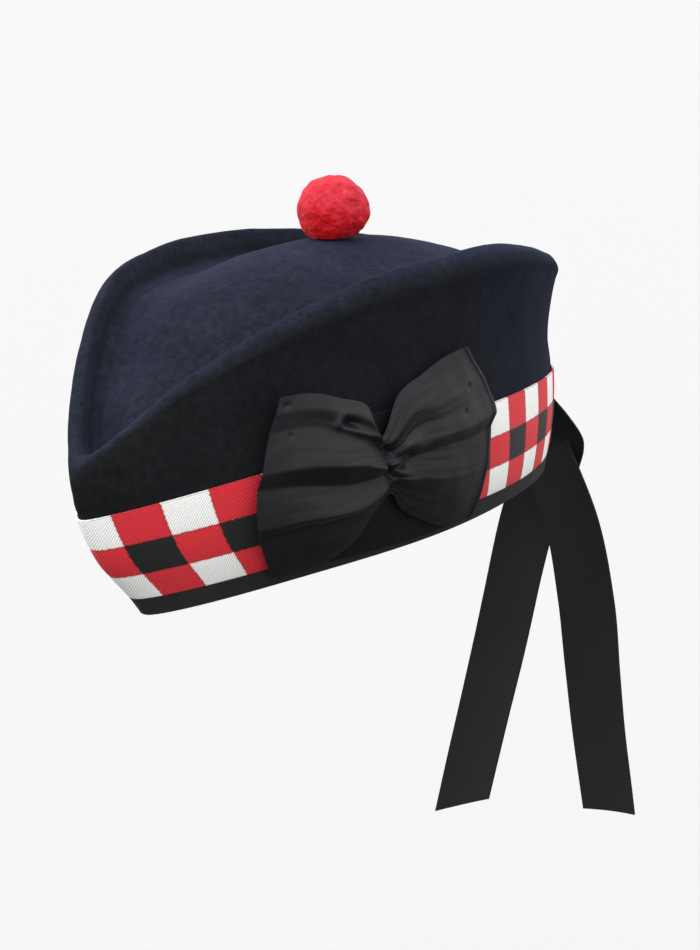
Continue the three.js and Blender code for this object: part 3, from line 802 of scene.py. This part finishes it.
def ring(t, level):
    """Closed rings of points round both walls, a row for each level."""
    left = wall_point(t[None, :], np.asarray(level, float)[:, None])
    right = left[:, -2:0:-1] * (-1, 1, 1)
    return np.concatenate([left, right], axis=1)


def along_ring(t):
    """Distance along the middle of the tape from the front crease, for each column of a ring."""
    line = wall_point(t, np.full(t.shape, (BAND_LOW + BAND_HIGH) / 2))
    steps = np.linalg.norm(np.diff(line, axis=0), axis=1)
    along = np.concatenate([[0], np.cumsum(steps)])
    return np.concatenate([along, along[-2:0:-1]])


def dice_band():
    """Tape round both walls, each tile of it a little padded."""
    t = stations(WALL_STATIONS + BAND_EXTRA_STATIONS)
    rows = np.linspace(0, 1, BAND_ROWS + 1)
    base = ring(t, mix(BAND_LOW, BAND_HIGH, rows))
    normals = grid_normals(base, wrap=True)
    along = TILE_WIDTH * np.interp(along_ring(t), DICE_DISTANCE, DICE_COLUMN)
    along = np.broadcast_to(along, base.shape[:2])
    up = np.broadcast_to((rows * TILE_ROWS * TILE_HEIGHT)[:, None], base.shape[:2])
    round_up = np.abs(np.sin(math.pi * up / TILE_HEIGHT)) ** TILE_ROUNDING
    round_along = np.abs(np.cos(math.pi * along / TILE_WIDTH)) ** TILE_ROUNDING
    pad = TILE_PAD * (round_up * round_along - 1)
    outer = base + normals * (GAP + TAPE + pad)[..., None]
    inner = base + normals * GAP
    cloth = np.stack([along, up], -1)
    piece = make_wall("dice_tape", outer, inner, tape, "dice_band", cloth, wrap=True)


def rim_binding():
    """Ribbon folded round the bottom edge of both walls."""
    t = stations(WALL_STATIONS)
    low, high = ring(t, [0, BINDING_TOP])
    out_low, out_high = grid_normals(np.stack([low, high]), wrap=True)
    outside = GAP + RIBBON
    inside = -FELT - GAP - RIBBON
    middle = (outside + inside) / 2
    half = (outside - inside) / 2
    shares = np.linspace(0, 1, BINDING_SIDE_ROWS)
    rows = [mix(high, low, f) + mix(out_high, out_low, f) * outside for f in shares]
    for angle in np.linspace(0, math.pi, BINDING_FOLD_ROWS)[1:-1]:
        turned = low + out_low * (middle + half * math.cos(angle))
        rows.append(turned - np.array([0, 0, (RIBBON + GAP) * math.sin(angle)]))
    rows += [mix(low, high, f) + mix(out_low, out_high, f) * inside for f in shares]
    outer = np.stack(rows)[::-1]
    skin = outer - grid_normals(outer, wrap=True) * RIBBON
    across = distance_along(outer, 0)
    along = np.broadcast_to(along_ring(t), outer.shape[:2])
    cloth = np.stack([along, np.broadcast_to(across[:, None], outer.shape[:2])], -1)
    piece = make_wall(
        "binding_ribbon", outer, skin, binding_ribbon, "rim_binding", cloth, wrap=True)


# Rosette

def fold_heights(s, b):
    """Height of the bow's folds, a column for each s along it and a row for each b across it."""
    places = np.stack([through(fold.place, s) for fold in BOW_FOLDS])
    heights = np.stack([through(fold.out, s) for fold in BOW_FOLDS])
    heights *= 1 - PINCH_SHARE * np.exp(-((s - 0.5) / PINCH_REACH) ** 2)
    grid = np.stack([np.interp(b, places[:, k], heights[:, k]) for k in range(len(s))], axis=1)
    return soften(grid, FOLD_ROUNDING)


def dent_heights(y, z):
    """Height of the small folds and dents at places on the bow."""
    total = np.zeros(y.shape)
    for dent in BOW_DENTS:
        slant = math.radians(dent.slant)
        along = (y - dent.y) * math.cos(slant) + (z - dent.z) * math.sin(slant)
        across = (z - dent.z) * math.cos(slant) - (y - dent.y) * math.sin(slant)
        far = (along / dent.half_length) ** 2 + (across / dent.half_width) ** 2
        total += dent.height * np.exp(-far)
    return total


def rosette_bow():
    """Pleated bow, drawn in at its middle."""
    s = np.linspace(0, 1, BOW_COLUMNS + 1)
    b = np.linspace(0, 1, BOW_ROWS + 1)
    columns = {name: through([getattr(row, name) for row in BOW_SECTIONS], s) for name in BowSection._fields}
    edges = np.stack([columns[name] for name in ("y_low", "y_lower", "y_upper", "y_high")])
    y = np.stack([through(edges[:, k], b) for k in range(len(s))], axis=1)
    z = mix(columns["low"][None, :], columns["high"][None, :], b[:, None])
    cells_along, cells_across = WRINKLE_CELLS
    cells = np.broadcast_arrays(cells_along * s[None, :], cells_across * b[:, None], 0.0)
    wrinkles = rough(np.stack(cells, -1), 1, WRINKLE, SEEDS["bow_wrinkles"])
    near_gather = 1 - np.abs(2 * s - 1)[None, :]
    out = BOW_OUT + columns["swell"] * np.sin(math.pi * b)[:, None] + fold_heights(s, b)
    out += dent_heights(y, z) + wrinkles * (WRINKLE_END_SHARE + near_gather)
    hem_start = y[:, -1:] - HEM
    out += HEM_STEP * smooth((y - hem_start) / HEM_RISE)
    outer = beside_wall(y, z, np.maximum(out, BOW_OUT) + RIBBON)
    normals = grid_normals(outer)
    loose = smooth(near_gather * BOW_END_RISE)
    outer += normals * (bumps(outer, BOW_BUMPS, SEEDS["rosette_bow"]) * loose)[..., None]
    cloth = np.stack(np.broadcast_arrays(distance_along(outer, 1), distance_along(outer, 0)[:, None]), -1)
    inner = outer - normals * RIBBON
    piece = make_wall("rosette_bow_ribbon", outer, inner, bow_ribbon, "rosette_bow", cloth)


def rosette_backing():
    """Flat ribbon behind the bow."""
    cells, rows = BACKING_CELLS
    y = np.linspace(BACKING["front"], BACKING["back"], cells + 1)[None, :]
    z = np.linspace(BACKING["low"], BACKING["high"], rows + 1)[:, None]
    outer = beside_wall(y, z, BACKING["out"] + RIBBON)
    inner = beside_wall(y, z, BACKING["out"])
    cloth = np.stack(np.broadcast_arrays(y, z), -1)
    piece = make_wall(
        "rosette_backing_ribbon", outer, inner, backing_ribbon, "rosette_backing", cloth)


# Tails

def tail(node, rows, slant):
    """Hanging ribbon with a slanted end."""
    table = np.array(rows, float)
    length = rows[0].z - rows[-1].z
    across = np.linspace(0.5, -0.5, TAIL_CELLS + 1)[:, None]
    far = 1 - np.maximum(slant * across + abs(slant) / 2, 0) / length
    s = far * np.linspace(0, 1, TAIL_STEPS + 1)[None, :]
    step = 1 / (2 * TAIL_STEPS)

    def centre(share):
        return np.stack([through(table[:, k], share) for k in range(3)], -1)

    along = centre(np.minimum(s + step, 1)) - centre(np.maximum(s - step, 0))
    along /= np.linalg.norm(along, axis=-1, keepdims=True)
    turn = np.radians(through(table[:, 3], s))
    back = np.stack([-np.sin(turn), np.cos(turn), np.zeros(turn.shape)], -1)
    side = np.cross(back, along)
    side /= np.linalg.norm(side, axis=-1, keepdims=True)
    bow = TAIL_CURL * (1 - 4 * across * across)
    points = centre(s) - side * (across * TAIL_WIDTH)[..., None] + back * bow[..., None]
    normals = grid_normals(points)
    loose = smooth(s * TAIL_FREE_RISE)
    outer = points + normals * (bumps(points, TAIL_BUMPS, SEEDS[node]) * loose)[..., None]
    cloth = np.stack(np.broadcast_arrays(s * length, across * TAIL_WIDTH), -1)
    inner = outer - normals * RIBBON
    piece = make_wall(node + "_ribbon", outer, inner, tail_ribbon, node, cloth)


def tail_fold():
    """Ribbon folded over the roots of the tails."""
    table = np.array(FOLD_ROWS, float)
    steps, cells = FOLD_CELLS
    s = np.linspace(0, 1, steps + 1)[None, :]
    share = np.linspace(0, 1, cells + 1)[:, None]
    z, y, left, right = (through(table[:, k], s) for k in range(4))
    bow = FOLD_BOW * (2 * share - 1) ** 2
    outer = np.stack(np.broadcast_arrays(mix(left, right, share), y - bow, z), -1)
    normals = grid_normals(outer)
    cloth = np.stack(np.broadcast_arrays(distance_along(outer, 1), distance_along(outer, 0)[:, None]), -1)
    inner = outer - normals * RIBBON
    piece = make_wall("tail_fold_ribbon", outer, inner, tail_ribbon, "tail_fold", cloth)


# Toorie

def toorie():
    """Ball of wool in lumps and tufts, flat where it is sewn on."""
    low, high = (np.array(corner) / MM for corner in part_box("toorie"))
    radius = (high[0] - low[0]) / 2
    centre = np.array([0, (low[1] + high[1]) / 2, high[2] - radius * TOORIE_HEIGHT])
    ways, faces = round_ball(TOORIE_CUTS)
    largest = sum(amount for scale, amount in TOORIE_BUMPS) / 2
    reach = radius - largest + bumps(ways * radius, TOORIE_BUMPS, SEEDS["toorie"])
    points = ways * reach[:, None] * (1, 1, TOORIE_HEIGHT) + centre
    points[:, 2] = np.maximum(points[:, 2], low[2])
    make_piece("toorie_wool", points, faces, wool, "toorie", sharp=ALL_SMOOTH)


def round_ball(cuts):
    """Points and triangles of a ball of radius 1."""
    ball = bmesh.new()
    bmesh.ops.create_icosphere(ball, subdivisions=cuts, radius=1)
    points = np.array([v.co[:] for v in ball.verts])
    faces = np.array([[v.index for v in f.verts] for f in ball.faces])
    ball.free()
    return points, faces


side_wall("left")
side_wall("right")
crown_panel()
dice_band()
rim_binding()
rosette_backing()
rosette_bow()
tail_fold()
tail("tail_left", TAIL_LEFT, TAIL_LEFT_SLANT)
tail("tail_right", TAIL_RIGHT, TAIL_RIGHT_SLANT)
toorie()


# Studio

def studio_floor():
    """Pale floor that sends no light back and throws no shadow."""
    shade = (FLOOR_SHADE, FLOOR_SHADE, FLOOR_SHADE, 1)
    material = new_material("pale_floor", Base_Color=shade, Roughness=0.9)[0]
    mesh = bpy.data.meshes.new("floor")
    half = FLOOR_HALF * MM
    corners = [(x * half, y * half, 0) for x, y in ((-1, -1), (1, -1), (1, 1), (-1, 1))]
    mesh.from_pydata(corners, [], [(0, 1, 2, 3)])
    mesh.materials.append(material)
    floor = bpy.data.objects.new("floor", mesh)
    floor.location.z = FLOOR_LEVEL * MM
    floor.visible_diffuse = False
    floor.visible_glossy = False
    floor.visible_shadow = False
    bpy.context.scene.collection.objects.link(floor)


def studio_light():
    """Bright surroundings and soft lamps."""
    world = bpy.data.worlds.new("studio")
    bpy.context.scene.world = world
    world.use_nodes = True
    tree = world.node_tree
    way = add_node(tree, "ShaderNodeTexCoord").outputs["Generated"]
    up = add_node(tree, "ShaderNodeSeparateXYZ", {"Vector": way}).outputs["Z"]
    share = calc(tree, "MULTIPLY_ADD", up, 0.5, 0.5)
    most = max(SKY)
    last = len(SKY) - 1
    stops = [(k / last, (value / most, value / most, value / most, 1)) for k, value in enumerate(SKY)]
    background = tree.nodes["Background"]
    tree.links.new(ramp(tree, share, stops), background.inputs["Color"])
    background.inputs["Strength"].default_value = most
    for lamp in LAMPS:
        light = bpy.data.lights.new(lamp.name, "SUN")
        light.energy = lamp.strength
        light.angle = math.radians(lamp.spread)
        made = bpy.data.objects.new(lamp.name, light)
        made.rotation_euler = Vector(lamp.travel).to_track_quat("-Z", "Y").to_euler()
        bpy.context.scene.collection.objects.link(made)


def camera():
    """Camera in front of the cap's left side, a little above it."""
    azimuth, elevation, roll = (math.radians(x) for x in (CAMERA_AZIMUTH, CAMERA_ELEVATION, CAMERA_ROLL))
    level = math.cos(elevation)
    back = Vector((math.sin(azimuth) * level, -math.cos(azimuth) * level, math.sin(elevation)))
    right = Vector((math.cos(azimuth), math.sin(azimuth), 0))
    up = back.cross(right)
    turned_right = right * math.cos(roll) - up * math.sin(roll)
    turned_up = right * math.sin(roll) + up * math.cos(roll)
    place = CAMERA_FOOT + back * CAMERA_DISTANCE
    aim = CAMERA_FOOT + turned_right * PICTURE_RIGHT + turned_up * PICTURE_UP
    back = (place - aim).normalized()
    right = (turned_right - back * turned_right.dot(back)).normalized()
    up = back.cross(right)
    data = bpy.data.cameras.new("camera")
    data.lens = CAMERA_LENS
    data.sensor_width = CAMERA_SENSOR
    made = bpy.data.objects.new("camera", data)
    made.matrix_world = Matrix((right, up, back)).transposed().to_4x4()
    made.location = place * MM
    bpy.context.scene.collection.objects.link(made)
    bpy.context.scene.camera = made


studio_floor()
studio_light()
camera()
bpy.context.scene.view_settings.view_transform = "Standard"
